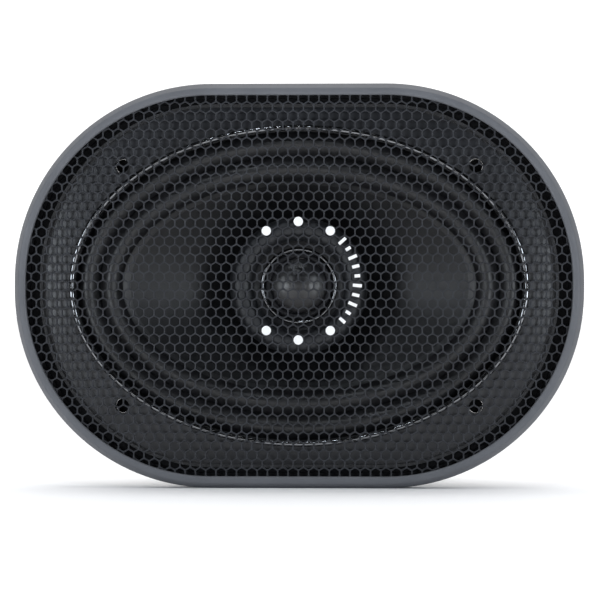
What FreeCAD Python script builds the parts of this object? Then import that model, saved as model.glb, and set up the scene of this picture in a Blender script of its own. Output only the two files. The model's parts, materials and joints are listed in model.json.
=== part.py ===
import FreeCAD, Part
import math
import os

# Coaxial car speaker of the 6 x 9 inch class with its pull-off grille, in millimetres.
# X is the long axis of the oval, Z the short one (up), and the speaker faces -Y.
# The origin is on the driver's axis in the plane where the speaker meets its panel (Y = 0):
# the grille stands in front of it (Y < 0), the basket and the magnet lie behind it (Y > 0).

V = FreeCAD.Vector

# Grille: an oval frame with a perforated steel sheet behind its front lip
BEZEL_HALF_X = 130.0
BEZEL_HALF_Z = 92.25
BEZEL_CORNER = 90.0
BEZEL_FRONT = -12.5
BEZEL_ROUNDING = 2.4
BEZEL_LIP = 5.2
BEZEL_WALL = 3.0
SHEET_FRONT = -10.5
SHEET_THICKNESS = 0.8
SHEET_GAP = 0.4
CELL_PITCH = 4.7
CELL_RADIUS = 2.03
RIB_WIDTH = 10.0
RIB_REACH = 1.7
RIB_BACK = -3.4

# Trim ring behind the sheet, and the white dots and bars bonded to the sheet's front
TRIM_INNER = 20.5
TRIM_OUTER = 31.5
TRIM_BACK = -5.6
BADGE_RADIUS = 27.0
BADGE_THICKNESS = 0.5
DOT_RADIUS = 2.15
DOT_SPREAD = 32.7
BAR_FIRST_ANGLE = 42.0
BAR_LAST_ANGLE = -42.0
BAR_LENGTHS = (4.2, 2.6, 4.2, 3.4, 2.6, 4.2, 3.4, 4.2, 2.6, 3.4)
BAR_WIDTH = 1.5

# Mounting ring, basket flange and front gasket, stacked in front of the panel
RING_HALF_X = 125.0
RING_HALF_Z = 87.5
RING_CORNER = 85.3
RING_FRONT = -3.0
RING_FLOOR_REACH = 1.7
RING_WALL_FRONT = -7.0
RING_WALL = 1.8
RING_HOLE_X = 106.4
RING_HOLE_Z = 74.4
SCREW_SPACING_X = 162.0
SCREW_SPACING_Z = 110.0
SCREW_HOLE_RADIUS = 3.25
FLANGE_HALF_X = 118.8
FLANGE_HALF_Z = 83.2
FLANGE_CORNER = 80.5
FLANGE_FRONT = -4.5
FLANGE_LIP = 1.4
GASKET_HALF_X = 115.8
GASKET_HALF_Z = 81.4
GASKET_CORNER = 79.0
GASKET_FRONT = -7.2
GASKET_BEAD = 0.7

# Basket bowl
BOWL_TOP_X = 105.8
BOWL_TOP_Z = 73.8
BOWL_WALL = 1.7
BOWL_SHOULDER_Y = 8.0
SHELF_Y = 34.0
SHELF_RADIUS = 54.0
SEAT_RADIUS = 46.0
SEAT_Y = 47.0
SEAT_THICKNESS = 1.5
SEAT_HOLE = 17.5
WINDOWS = 12
WINDOW_FRONT_Y = 10.5
WINDOW_REAR_Y = 31.0
WINDOW_FRONT_WIDTH = 25.0
WINDOW_REAR_WIDTH = 19.0

# Surround and cone
SURROUND_X = 102.6
SURROUND_Z = 70.9
CONE_EDGE_X = 81.3
CONE_EDGE_Z = 48.3
LANDING = 4.9
SURROUND_WALL = 0.5
ROLL_CREST = -3.2
ROLL_ROOT = 1.4
CONE_EDGE_Y = 1.4
CONE_NECK = 15.4
CONE_NECK_Y = 31.0
CONE_CURVE = 0.75
CONE_WALL = 0.8

# Motor
TOP_PLATE_RADIUS = 44.0
TOP_PLATE_THICKNESS = 5.0
GAP_RADIUS = 16.3
MAGNET_RADIUS = 46.0
MAGNET_HOLE = 22.0
MAGNET_THICKNESS = 16.0
BACK_PLATE_RADIUS = 43.0
BACK_PLATE_THICKNESS = 6.0
POLE_RADIUS = 14.5
POLE_FRONT = 46.0
POLE_BORE = 5.2
NUT_POCKET_RADIUS = 9.5
NUT_POCKET_DEPTH = 4.0
FORMER_RADIUS = 15.0
FORMER_WALL = 0.25
FORMER_FRONT = 26.0
FORMER_REAR = 57.0
COIL_WALL = 0.6
COIL_LENGTH = 11.0
SPIDER_OUTER = 51.5
SPIDER_FLAT = 44.0
SPIDER_WAVES = 5
SPIDER_DEPTH = 1.3
SPIDER_WALL = 0.5
BOOT_RADIUS = 48.6
BOOT_FRONT = 53.5
BOOT_REAR = 76.5
BOOT_HOLE = 30.0
RIVET_CIRCLE = 32.0
RIVET_SHANK = 2.0
RIVET_HEAD = 4.0

# Tweeter on its post
POD_RADIUS = 24.0
POD_REAR_RADIUS = 20.0
POD_REAR = 14.0
POST_RADIUS = 5.0
POST_BORE = 2.6
POST_REAR = 73.4
POST_HEAD = 9.0
NUT_FLATS = 14.0
NUT_THICKNESS = 3.0
DOME_RADIUS = 12.6
DOME_BASE = -1.8
DOME_HEIGHT = 4.2
DOME_WALL = 0.3
FACE_OPENING = 15.8
FACE_FRONT = -5.0

# Terminals and wiring
BOARD_X0 = 47.0
BOARD_X1 = 67.0
BOARD_FRONT = 37.3
BOARD_THICKNESS = 3.0
BOARD_HALF_Z = 15.0
TAB_LENGTH = 15.0
TAB_THICKNESS = 0.8
POSITIVE_WIDTH = 6.3
NEGATIVE_WIDTH = 4.8
TAB_Z = 8.0
BOARD_RIVET_X = 50.2
BOARD_RIVET_Z = 9.0
CAPACITOR_RADIUS = 5.0
CAPACITOR_LENGTH = 21.0
WIRE_RADIUS = 0.7
WIRE_OFFSET = 0.95
TINSEL_RADIUS = 0.6
WIRE_BEND = 4.0
TINSEL_BEND = 5.0

SHEET_BACK = SHEET_FRONT + SHEET_THICKNESS
FLANGE_BACK = RING_FRONT
TOP_PLATE_REAR = SEAT_Y + TOP_PLATE_THICKNESS
MAGNET_REAR = TOP_PLATE_REAR + MAGNET_THICKNESS
YOKE_REAR = MAGNET_REAR + BACK_PLATE_THICKNESS
BOARD_REAR = BOARD_FRONT + BOARD_THICKNESS


# ---------------------------------------------------------------- shapes

def outline(half_x, half_z, corner, y):
    """A rounded rectangle in the plane at y."""
    flat_x = half_x - corner
    flat_z = half_z - corner
    edges = []
    for turn in range(4):
        side_x = 1 if turn in (0, 3) else -1
        side_z = 1 if turn in (0, 1) else -1
        centre = V(side_x * flat_x, y, side_z * flat_z)
        start = math.radians(90 * turn)
        spokes = [start + math.radians(step) for step in (0, 45, 90)]
        points = [centre + V(corner * math.cos(a), 0, corner * math.sin(a)) for a in spokes]
        edges.append(Part.Arc(*points).toShape())
        next_x = 1 if turn in (2, 3) else -1
        next_z = 1 if turn in (3, 0) else -1
        following = V(next_x * flat_x, y, next_z * flat_z)
        finish = following + V(corner * math.cos(spokes[2]), 0, corner * math.sin(spokes[2]))
        edges.append(Part.LineSegment(points[2], finish).toShape())
    return Part.Wire(edges)


def oval_plate(half_x, half_z, corner, y0, y1):
    """A plate with a rounded rectangle's outline between two planes."""
    return Part.Face(outline(half_x, half_z, corner, y0)).extrude(V(0, y1 - y0, 0))


def ellipse(half_x, half_z, y):
    """An ellipse in the plane at y with its long axis along X."""
    curve = Part.Ellipse(V(half_x + 1e-4, y, 0), V(0, y, half_z), V(0, y, 0))
    return curve.toShape()


def ellipse_plate(half_x, half_z, y0, y1):
    """An elliptical plate between two planes."""
    face = Part.Face(Part.Wire([ellipse(half_x, half_z, y0)]))
    return face.extrude(V(0, y1 - y0, 0))


def oval_shell(stations):
    """A closed ring-shaped solid: its section passes through the stations (half_x, half_z, y)."""
    curves = [ellipse(*station) for station in stations]
    bands = []
    for index, curve in enumerate(curves):
        bands.append(Part.makeRuledSurface(curves[index - 1], curve))
    shell = Part.Shell(bands)
    shell.sewShape()
    solid = Part.Solid(shell)
    if solid.Volume < 0:
        solid.reverse()
    return solid


def cylinder(radius, y0, y1, x=0.0, z=0.0):
    """A cylinder along Y."""
    return Part.makeCylinder(radius, y1 - y0, V(x, y0, z), V(0, 1, 0))


def tube(outer, inner, y0, y1):
    """A round tube along Y on the driver's axis."""
    return cylinder(outer, y0, y1).cut(cylinder(inner, y0 - 1, y1 + 1))


def turned(profile):
    """A solid of revolution about Y from a closed profile of (radius, y) points."""
    points = [V(radius, y, 0) for radius, y in profile]
    face = Part.Face(Part.makePolygon(points + points[:1]))
    return face.revolve(V(0, 0, 0), V(0, 1, 0), 360)


def turned_edges(edges):
    """A solid of revolution about Y from edges that close a profile in the plane z = 0."""
    return Part.Face(Part.Wire(edges)).revolve(V(0, 0, 0), V(0, 1, 0), 360)


def arc(first, middle, last):
    """An arc in the plane z = 0 through three (radius, y) points."""
    return Part.Arc(V(*first, 0), V(*middle, 0), V(*last, 0)).toShape()


def line(first, last):
    """A straight edge in the plane z = 0 between two (radius, y) points."""
    return Part.LineSegment(V(*first, 0), V(*last, 0)).toShape()


def block(x0, x1, y0, y1, z0, z1):
    """A box between two corners."""
    return Part.makeBox(x1 - x0, y1 - y0, z1 - z0, V(x0, y0, z0))


def wire_tube(points, radius, bend):
    """A round wire along straight runs joined by tangent arcs of one bend radius."""
    edges = []
    start = points[0]
    for before, corner, after in zip(points, points[1:], points[2:]):
        back = (before - corner).normalize()
        ahead = (after - corner).normalize()
        half = back.getAngle(ahead) / 2
        reach = bend / math.tan(half)
        into = corner + back * reach
        out = corner + ahead * reach
        inward = (back + ahead).normalize()
        middle = corner + inward * (bend / math.sin(half) - bend)
        edges.append(Part.LineSegment(start, into).toShape())
        edges.append(Part.Arc(into, middle, out).toShape())
        start = out
    edges.append(Part.LineSegment(start, points[-1]).toShape())
    path = Part.Wire(edges)
    direction = points[1] - points[0]
    section = Part.Wire([Part.makeCircle(radius, points[0], direction)])
    return path.makePipeShell([section], True, True)


def screw_places():
    """The four mounting holes' centres as (x, z)."""
    half_x = SCREW_SPACING_X / 2
    half_z = SCREW_SPACING_Z / 2
    return [(x, z) for x in (-half_x, half_x) for z in (-half_z, half_z)]


def with_screw_holes(shape, y0, y1):
    """The shape with the four mounting holes through it."""
    for x, z in screw_places():
        shape = shape.cut(cylinder(SCREW_HOLE_RADIUS, y0 - 1, y1 + 1, x, z))
    return shape


def round_cell(x, z, y):
    """A round hole's outline in a plane Y = y."""
    return Part.Wire([Part.Circle(V(x, y, z), V(0, 1, 0), CELL_RADIUS).toShape()])


def inside_outline(x, z, half_x, half_z, corner):
    """Whether a point lies inside a rounded rectangle."""
    dx = abs(x) - (half_x - corner)
    dz = abs(z) - (half_z - corner)
    return math.hypot(max(dx, 0), max(dz, 0)) + min(max(dx, dz), 0) <= corner


# ---------------------------------------------------------------- grille

def grille_bezel():
    """The oval frame: rounded front, a lip over the sheet's edge and ribs that grip the ring."""
    body = oval_plate(BEZEL_HALF_X, BEZEL_HALF_Z, BEZEL_CORNER, BEZEL_FRONT, 0)
    front_edges = [e for e in body.Edges if e.BoundBox.YMax < BEZEL_FRONT + 0.01]
    body = body.makeFillet(BEZEL_ROUNDING, front_edges)
    opening = oval_plate(BEZEL_HALF_X - BEZEL_LIP, BEZEL_HALF_Z - BEZEL_LIP,
                         BEZEL_CORNER - BEZEL_LIP, BEZEL_FRONT - 1, 1)
    cavity = oval_plate(BEZEL_HALF_X - BEZEL_WALL, BEZEL_HALF_Z - BEZEL_WALL,
                        BEZEL_CORNER - BEZEL_WALL, SHEET_FRONT, 1)
    body = body.cut(opening).cut(cavity)
    for rib in grip_ribs():
        body = body.fuse(rib)
    return body.removeSplitter()


def grip_ribs():
    """Upright ribs inside the frame's wall that rub on the mounting ring's edge."""
    inner_x = BEZEL_HALF_X - BEZEL_WALL
    inner_z = BEZEL_HALF_Z - BEZEL_WALL
    half = RIB_WIDTH / 2
    ribs = []
    for x in (-25.0, 25.0):
        ribs.append(block(x - half, x + half, RING_WALL_FRONT, RIB_BACK,
                          inner_z - RIB_REACH, inner_z + 0.5))
        ribs.append(block(x - half, x + half, RING_WALL_FRONT, RIB_BACK,
                          -inner_z - 0.5, -inner_z + RIB_REACH))
    for side in (-1, 1):
        x0, x1 = sorted((side * (inner_x - RIB_REACH), side * (inner_x + 0.5)))
        ribs.append(block(x0, x1, RING_WALL_FRONT, RIB_BACK, -2.0, 2.0))
    return ribs


def grille_mesh():
    """The flat steel sheet with its field of cells in staggered rows."""
    inset = BEZEL_WALL + SHEET_GAP
    half_x = BEZEL_HALF_X - inset
    half_z = BEZEL_HALF_Z - inset
    corner = BEZEL_CORNER - inset
    margin = CELL_RADIUS + 0.8
    row_pitch = CELL_PITCH * math.sqrt(3) / 2
    rows = int(half_z / row_pitch) + 1
    columns = int(half_x / CELL_PITCH) + 1
    cells = []
    for row in range(-rows, rows + 1):
        shift = 0.5 * CELL_PITCH * (row % 2)
        for column in range(-columns, columns + 1):
            x = column * CELL_PITCH + shift
            z = row * row_pitch
            if inside_outline(x, z, half_x - margin, half_z - margin, corner - margin):
                cells.append(round_cell(x, z, SHEET_FRONT))
    face = Part.Face([outline(half_x, half_z, corner, SHEET_FRONT)] + cells)
    return face.extrude(V(0, SHEET_THICKNESS, 0))


def grille_trim_ring():
    """A ring with a rounded front that sits against the sheet's back round the tweeter."""
    middle = (TRIM_INNER + TRIM_OUTER) / 2
    shoulder = TRIM_BACK - 0.6
    edges = [
        arc((TRIM_INNER, shoulder), (middle, SHEET_BACK), (TRIM_OUTER, shoulder)),
        line((TRIM_OUTER, shoulder), (TRIM_OUTER, TRIM_BACK)),
        line((TRIM_OUTER, TRIM_BACK), (TRIM_INNER, TRIM_BACK)),
        line((TRIM_INNER, TRIM_BACK), (TRIM_INNER, shoulder)),
    ]
    return turned_edges(edges)


def badge_dots():
    """Six white dots bonded to the sheet: three at the top and three at the bottom."""
    dots = []
    for base in (90, 270):
        for offset in (-DOT_SPREAD, 0, DOT_SPREAD):
            angle = math.radians(base + offset)
            x = BADGE_RADIUS * math.cos(angle)
            z = BADGE_RADIUS * math.sin(angle)
            dots.append(cylinder(DOT_RADIUS, SHEET_FRONT - BADGE_THICKNESS, SHEET_FRONT, x, z))
    return Part.makeCompound(dots)


def badge_bars():
    """Plain white bars, radial and of several lengths, on the right of the same circle."""
    bars = []
    step = (BAR_LAST_ANGLE - BAR_FIRST_ANGLE) / (len(BAR_LENGTHS) - 1)
    for index, length in enumerate(BAR_LENGTHS):
        bar = block(BADGE_RADIUS - length / 2, BADGE_RADIUS + length / 2,
                    SHEET_FRONT - BADGE_THICKNESS, SHEET_FRONT, -BAR_WIDTH / 2, BAR_WIDTH / 2)
        bar.rotate(V(0, 0, 0), V(0, -1, 0), BAR_FIRST_ANGLE + step * index)
        bars.append(bar)
    return Part.makeCompound(bars)


# ---------------------------------------------------------------- chassis

def mounting_ring():
    """The black ring between flange and panel: its floor fills the grille's frame from behind
    and its raised wall carries the grille's ribs."""
    reach = RING_FLOOR_REACH
    floor = oval_plate(RING_HALF_X + reach, RING_HALF_Z + reach - 0.25, RING_CORNER + reach - 0.25,
                       RING_FRONT, 0)
    wall = oval_plate(RING_HALF_X, RING_HALF_Z, RING_CORNER, RING_WALL_FRONT, RING_FRONT)
    hollow = oval_plate(RING_HALF_X - RING_WALL, RING_HALF_Z - RING_WALL,
                        RING_CORNER - RING_WALL, RING_WALL_FRONT - 1, RING_FRONT)
    ring = floor.fuse(wall.cut(hollow)).removeSplitter()
    ring = ring.cut(ellipse_plate(RING_HOLE_X, RING_HOLE_Z, -10, 1))
    return with_screw_holes(ring, RING_FRONT, 0)


def basket_flange():
    """The basket's flat flange with its upturned rim."""
    flat = oval_plate(FLANGE_HALF_X, FLANGE_HALF_Z, FLANGE_CORNER, FLANGE_FRONT, FLANGE_BACK)
    rim_front = FLANGE_FRONT - FLANGE_LIP
    rim = oval_plate(FLANGE_HALF_X, FLANGE_HALF_Z, FLANGE_CORNER, rim_front, FLANGE_FRONT)
    hollow = oval_plate(FLANGE_HALF_X - FLANGE_LIP, FLANGE_HALF_Z - FLANGE_LIP,
                        FLANGE_CORNER - FLANGE_LIP, rim_front - 1, FLANGE_FRONT)
    flange = flat.fuse(rim.cut(hollow))
    inner = ellipse_plate(BOWL_TOP_X - BOWL_WALL / 2, BOWL_TOP_Z - BOWL_WALL / 2, -10, 0)
    return flange.cut(inner)


def basket_bowl():
    """The bowl from the flange down to the magnet seat, with a shelf for the spider."""
    shoulder_x = BOWL_TOP_X - 1.2
    shoulder_z = BOWL_TOP_Z - 1.2
    wall = BOWL_WALL
    outside = [
        (BOWL_TOP_X, BOWL_TOP_Z, FLANGE_FRONT),
        (shoulder_x, shoulder_z, BOWL_SHOULDER_Y),
        (SHELF_RADIUS, SHELF_RADIUS, SHELF_Y - 1.0),
        (SHELF_RADIUS, SHELF_RADIUS, SHELF_Y + 1.5),
        (SEAT_RADIUS, SEAT_RADIUS, SHELF_Y + 3.0),
        (SEAT_RADIUS, SEAT_RADIUS, SEAT_Y),
        (SEAT_HOLE, SEAT_HOLE, SEAT_Y),
    ]
    inside = [
        (SEAT_HOLE, SEAT_HOLE, SEAT_Y - SEAT_THICKNESS),
        (SEAT_RADIUS - wall, SEAT_RADIUS - wall, SEAT_Y - SEAT_THICKNESS),
        (SEAT_RADIUS - wall, SEAT_RADIUS - wall, SHELF_Y),
        (SHELF_RADIUS - wall, SHELF_RADIUS - wall, SHELF_Y),
        (SHELF_RADIUS - wall, SHELF_RADIUS - wall, SHELF_Y - 1.8),
        (shoulder_x - wall, shoulder_z - wall, BOWL_SHOULDER_Y - 0.8),
        (BOWL_TOP_X - wall, BOWL_TOP_Z - wall, FLANGE_FRONT),
    ]
    return oval_shell(outside + inside)


def basket_window(index):
    """A wedge that cuts one window through the bowl's slope."""
    turn = 2 * math.pi * (index + 0.5) / WINDOWS
    angle = math.degrees(math.atan2(66.0 * math.sin(turn), 82.0 * math.cos(turn)))
    front = WINDOW_FRONT_WIDTH / 2
    rear = WINDOW_REAR_WIDTH / 2
    corners = [(front, WINDOW_FRONT_Y), (rear, WINDOW_REAR_Y),
               (-rear, WINDOW_REAR_Y), (-front, WINDOW_FRONT_Y)]
    points = [V(SHELF_RADIUS - 10, y, z) for z, y in corners]
    wedge = Part.Face(Part.makePolygon(points + points[:1])).extrude(V(80, 0, 0))
    upright = [e for e in wedge.Edges if e.BoundBox.XLength > 79]
    wedge = wedge.makeFillet(3.5, upright)
    wedge.rotate(V(0, 0, 0), V(0, -1, 0), angle)
    return wedge


def basket():
    """The stamped steel basket in one piece: flange, bowl, windows and fastener holes."""
    body = basket_flange().fuse(basket_bowl()).removeSplitter()
    for index in range(WINDOWS):
        body = body.cut(basket_window(index))
    for x, z in rivet_places():
        body = body.cut(cylinder(RIVET_SHANK + 0.05, SEAT_Y - 3, SEAT_Y + 1, x, z))
    for z in (-BOARD_RIVET_Z, BOARD_RIVET_Z):
        body = body.cut(cylinder(RIVET_SHANK * 0.75 + 0.05, SHELF_Y - 1, SHELF_Y + 4,
                                 BOARD_RIVET_X, z))
    return with_screw_holes(body, FLANGE_FRONT, FLANGE_BACK)


def front_gasket():
    """The satin grey ring on the flange, with a glossy bead along its inner edge."""
    body = oval_plate(GASKET_HALF_X, GASKET_HALF_Z, GASKET_CORNER, GASKET_FRONT, FLANGE_FRONT)
    body = body.cut(ellipse_plate(SURROUND_X, SURROUND_Z, GASKET_FRONT - 1, 0))
    landing = ellipse_plate(SURROUND_X + LANDING + 0.3, SURROUND_Z + LANDING + 0.3,
                            FLANGE_FRONT - SURROUND_WALL, 0)
    body = body.cut(landing)
    bead = oval_shell([
        (SURROUND_X + 0.2, SURROUND_Z + 0.2, GASKET_FRONT + 0.4),
        (SURROUND_X + 0.2, SURROUND_Z + 0.2, GASKET_FRONT - GASKET_BEAD),
        (SURROUND_X + 1.4, SURROUND_Z + 1.4, GASKET_FRONT - GASKET_BEAD),
        (SURROUND_X + 2.2, SURROUND_Z + 2.2, GASKET_FRONT + 0.4),
    ])
    return with_screw_holes(body.fuse(bead), GASKET_FRONT, FLANGE_FRONT)


# ---------------------------------------------------------------- diaphragm

def cone_station(share):
    """The cone's half axes and depth at a share of the way from neck to edge."""
    half_x = CONE_NECK + (CONE_EDGE_X - CONE_NECK) * share
    half_z = CONE_NECK + (CONE_EDGE_Z - CONE_NECK) * share
    y = CONE_NECK_Y + (CONE_EDGE_Y - CONE_NECK_Y) * share ** CONE_CURVE
    return half_x, half_z, y


def cone():
    """The oval cone, curved from neck to edge."""
    shares = [0.0, 0.1, 0.25, 0.45, 0.7, 1.0]
    front = [cone_station(share) for share in shares]
    back = [(x, z, y + CONE_WALL) for x, z, y in reversed(front)]
    return oval_shell(front + back)


def roll_station(share):
    """The surround's half axes and depth at a share of the way from cone edge to flange."""
    half_x = CONE_EDGE_X + (SURROUND_X - CONE_EDGE_X) * share
    half_z = CONE_EDGE_Z + (SURROUND_Z - CONE_EDGE_Z) * share
    lift = abs(math.sin(2 * math.pi * share)) ** 0.7
    return half_x, half_z, ROLL_ROOT + (ROLL_CREST - ROLL_ROOT) * lift


def surround():
    """The double-roll surround with its flat landing on the flange."""
    count = 24
    front = [roll_station((step + 0.5) / count) for step in range(count)]
    wall = SURROUND_WALL
    top = FLANGE_FRONT - wall
    front += [(SURROUND_X - 0.1, SURROUND_Z - 0.1, top),
              (SURROUND_X + LANDING, SURROUND_Z + LANDING, top)]
    back = [(SURROUND_X + LANDING, SURROUND_Z + LANDING, FLANGE_FRONT),
            (SURROUND_X + 0.4, SURROUND_Z + 0.4, FLANGE_FRONT)]
    back += [(x, z, y + wall) for x, z, y in reversed(front[:count])]
    return oval_shell(front + back)


def spider():
    """The corrugated disc that centres the coil, flat where it is glued to the shelf."""
    inner = FORMER_RADIUS + FORMER_WALL + 0.1
    steps = SPIDER_WAVES * 6
    front = []
    for step in range(steps + 1):
        radius = inner + (SPIDER_FLAT - inner) * step / steps
        wave = SPIDER_DEPTH * math.sin(2 * math.pi * SPIDER_WAVES * step / steps)
        front.append((radius, SHELF_Y - SPIDER_WALL - 0.8 + wave))
    front.append((SPIDER_FLAT + 1.5, SHELF_Y - SPIDER_WALL))
    front.append((SPIDER_OUTER, SHELF_Y - SPIDER_WALL))
    back = [(radius, y + SPIDER_WALL) for radius, y in reversed(front)]
    return turned(front + back)


def voice_coil_former():
    """The thin tube that carries the coil and joins the cone's neck."""
    return tube(FORMER_RADIUS + FORMER_WALL, FORMER_RADIUS, FORMER_FRONT, FORMER_REAR)


def voice_coil():
    """The copper winding centred in the gap."""
    middle = SEAT_Y + TOP_PLATE_THICKNESS / 2
    inner = FORMER_RADIUS + FORMER_WALL
    return tube(inner + COIL_WALL, inner, middle - COIL_LENGTH / 2, middle + COIL_LENGTH / 2)


# ---------------------------------------------------------------- motor

def rivet_places():
    """The four rivets between basket and top plate as (x, z)."""
    angles = [math.radians(45 + 90 * step) for step in range(4)]
    return [(RIVET_CIRCLE * math.cos(a), RIVET_CIRCLE * math.sin(a)) for a in angles]


def top_plate():
    """The steel washer round the gap."""
    plate = tube(TOP_PLATE_RADIUS, GAP_RADIUS, SEAT_Y, TOP_PLATE_REAR)
    for x, z in rivet_places():
        plate = plate.cut(cylinder(RIVET_SHANK + 0.05, SEAT_Y - 1, TOP_PLATE_REAR + 1, x, z))
    return plate


def basket_rivets():
    """Rivets with round-shouldered heads inside the basket."""
    head_back = SEAT_Y - SEAT_THICKNESS
    profile = [
        (0, head_back - 1.9),
        (RIVET_HEAD - 1.6, head_back - 1.9),
        (RIVET_HEAD - 0.5, head_back - 1.3),
        (RIVET_HEAD, head_back - 0.5),
        (RIVET_HEAD, head_back),
        (RIVET_SHANK, head_back),
        (RIVET_SHANK, TOP_PLATE_REAR - 0.1),
        (0, TOP_PLATE_REAR - 0.1),
    ]
    rivets = []
    for x, z in rivet_places():
        rivet = turned(profile)
        rivet.translate(V(x, 0, z))
        rivets.append(rivet)
    return Part.makeCompound(rivets)


def yoke():
    """The back plate and its pole in one piece, bored for the tweeter's post."""
    profile = [
        (POLE_BORE, POLE_FRONT),
        (POLE_RADIUS - 0.8, POLE_FRONT),
        (POLE_RADIUS, POLE_FRONT + 0.8),
        (POLE_RADIUS, MAGNET_REAR - 1.0),
        (POLE_RADIUS + 1.0, MAGNET_REAR),
        (BACK_PLATE_RADIUS, MAGNET_REAR),
        (BACK_PLATE_RADIUS, YOKE_REAR - 1.5),
        (BACK_PLATE_RADIUS - 1.5, YOKE_REAR),
        (NUT_POCKET_RADIUS, YOKE_REAR),
        (NUT_POCKET_RADIUS, YOKE_REAR - NUT_POCKET_DEPTH),
        (POLE_BORE, YOKE_REAR - NUT_POCKET_DEPTH),
    ]
    return turned(profile)


def magnet_boot():
    """The rubber boot round the magnet, slotted at the back for the tweeter's wires."""
    profile = [
        (MAGNET_RADIUS + 0.1, BOOT_FRONT),
        (BOOT_RADIUS - 0.6, BOOT_FRONT),
        (BOOT_RADIUS, BOOT_FRONT + 0.6),
        (BOOT_RADIUS, BOOT_REAR - 2.5),
        (BOOT_RADIUS - 2.5, BOOT_REAR),
        (BOOT_HOLE, BOOT_REAR),
        (BOOT_HOLE, YOKE_REAR),
        (MAGNET_RADIUS + 0.1, YOKE_REAR),
    ]
    slot_half = 2 * WIRE_OFFSET + WIRE_RADIUS
    slot = block(BOOT_HOLE - 1, BOOT_RADIUS + 1, YOKE_REAR - 3.0, BOOT_REAR + 1,
                 -slot_half, slot_half)
    return turned(profile).cut(slot)


# ---------------------------------------------------------------- tweeter

def tweeter_housing():
    """The moulded pod, stepped inside for the face plate, the motor and the post's head."""
    profile = [
        (22.2, -3.2),
        (POD_RADIUS, -3.2),
        (POD_RADIUS, 4.0),
        (POD_REAR_RADIUS, POD_REAR - 3.0),
        (POD_REAR_RADIUS - 3.0, POD_REAR),
        (POST_RADIUS + 0.05, POD_REAR),
        (POST_RADIUS + 0.05, POD_REAR - 2.0),
        (POST_HEAD + 0.1, POD_REAR - 2.0),
        (POST_HEAD + 0.1, 9.5),
        (17.1, 9.5),
        (17.1, -0.4),
        (22.2, -0.4),
    ]
    return turned(profile)


def tweeter_faceplate():
    """The face plate with a shallow flare and a raised bead round the dome."""
    profile = [
        (FACE_OPENING, -0.6),
        (FACE_OPENING, -2.4),
        (FACE_OPENING + 0.4, -3.0),
        (FACE_OPENING + 0.9, -3.0),
        (FACE_OPENING + 1.3, -2.5),
        (FACE_OPENING + 2.0, -2.6),
        (22.0, FACE_FRONT),
        (POD_RADIUS - 0.5, FACE_FRONT),
        (POD_RADIUS, FACE_FRONT + 0.5),
        (POD_RADIUS, -3.2),
        (22.0, -3.2),
        (22.0, -0.6),
    ]
    return turned(profile)


def tweeter_yoke():
    """The small steel cup round the tweeter's magnet."""
    profile = [(13.4, -0.4), (17.0, -0.4), (17.0, 9.4), (0, 9.4), (0, 7.4), (13.4, 7.4)]
    return turned(profile)


def tweeter_dome():
    """The soft dome."""
    base = DOME_BASE
    top = base - DOME_HEIGHT
    middle = DOME_RADIUS * 0.55
    sphere = (DOME_RADIUS ** 2 + DOME_HEIGHT ** 2) / (2 * DOME_HEIGHT)
    rise = math.sqrt(sphere ** 2 - middle ** 2) - (sphere - DOME_HEIGHT)
    edges = [
        arc((DOME_RADIUS, base), (middle, base - rise), (0, top)),
        line((0, top), (0, top + DOME_WALL)),
        arc((0, top + DOME_WALL), (middle, base - rise + DOME_WALL),
            (DOME_RADIUS - 0.6, base)),
        line((DOME_RADIUS - 0.6, base), (DOME_RADIUS, base)),
    ]
    return turned_edges(edges)


def tweeter_surround():
    """The dome's small half roll, glued under the face plate."""
    edges = [
        arc((12.9, -1.7), (14.15, -3.0), (15.4, -1.7)),
        line((15.4, -1.7), (15.4, -0.6)),
        line((15.4, -0.6), (16.6, -0.6)),
        line((16.6, -0.6), (16.6, -0.4)),
        line((16.6, -0.4), (15.1, -0.4)),
        line((15.1, -0.4), (15.1, -1.7)),
        arc((15.1, -1.7), (14.15, -2.7), (13.2, -1.7)),
        line((13.2, -1.7), (12.9, -1.7)),
    ]
    return turned_edges(edges)


def tweeter_post():
    """The hollow post from the pod through the pole."""
    profile = [
        (POST_BORE, POD_REAR - 4.2),
        (POST_HEAD, POD_REAR - 4.2),
        (POST_HEAD, POD_REAR - 2.0),
        (POST_RADIUS, POD_REAR - 2.0),
        (POST_RADIUS, POST_REAR),
        (POST_BORE, POST_REAR),
    ]
    return turned(profile)


def post_nut():
    """The nut in the back plate's pocket."""
    y0 = YOKE_REAR - NUT_POCKET_DEPTH
    reach = NUT_FLATS / math.sqrt(3)
    corners = []
    for step in range(7):
        angle = math.radians(60 * step)
        corners.append(V(reach * math.cos(angle), y0, reach * math.sin(angle)))
    body = Part.Face(Part.makePolygon(corners)).extrude(V(0, NUT_THICKNESS, 0))
    return body.cut(cylinder(POST_RADIUS + 0.05, y0 - 1, y0 + NUT_THICKNESS + 1))


# ---------------------------------------------------------------- terminals and wiring

def terminal_board():
    """The board behind the basket's shelf, hollowed to clear the magnet seat."""
    board = block(BOARD_X0, BOARD_X1, BOARD_FRONT, BOARD_REAR, -BOARD_HALF_Z, BOARD_HALF_Z)
    corners = [e for e in board.Edges if e.BoundBox.YLength > BOARD_THICKNESS - 0.1
               and e.BoundBox.XMax > BOARD_X1 - 0.1]
    board = board.makeFillet(3.0, corners)
    for z in (-BOARD_RIVET_Z, BOARD_RIVET_Z):
        board = board.cut(cylinder(RIVET_SHANK * 0.75 + 0.05, BOARD_FRONT - 1, BOARD_REAR + 1,
                                   BOARD_RIVET_X, z))
    for z in (-TAB_Z, TAB_Z):
        board = board.cut(cylinder(1.1, BOARD_FRONT - 1, BOARD_REAR + 1, BOARD_X1 - 5, z))
    return board


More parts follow.
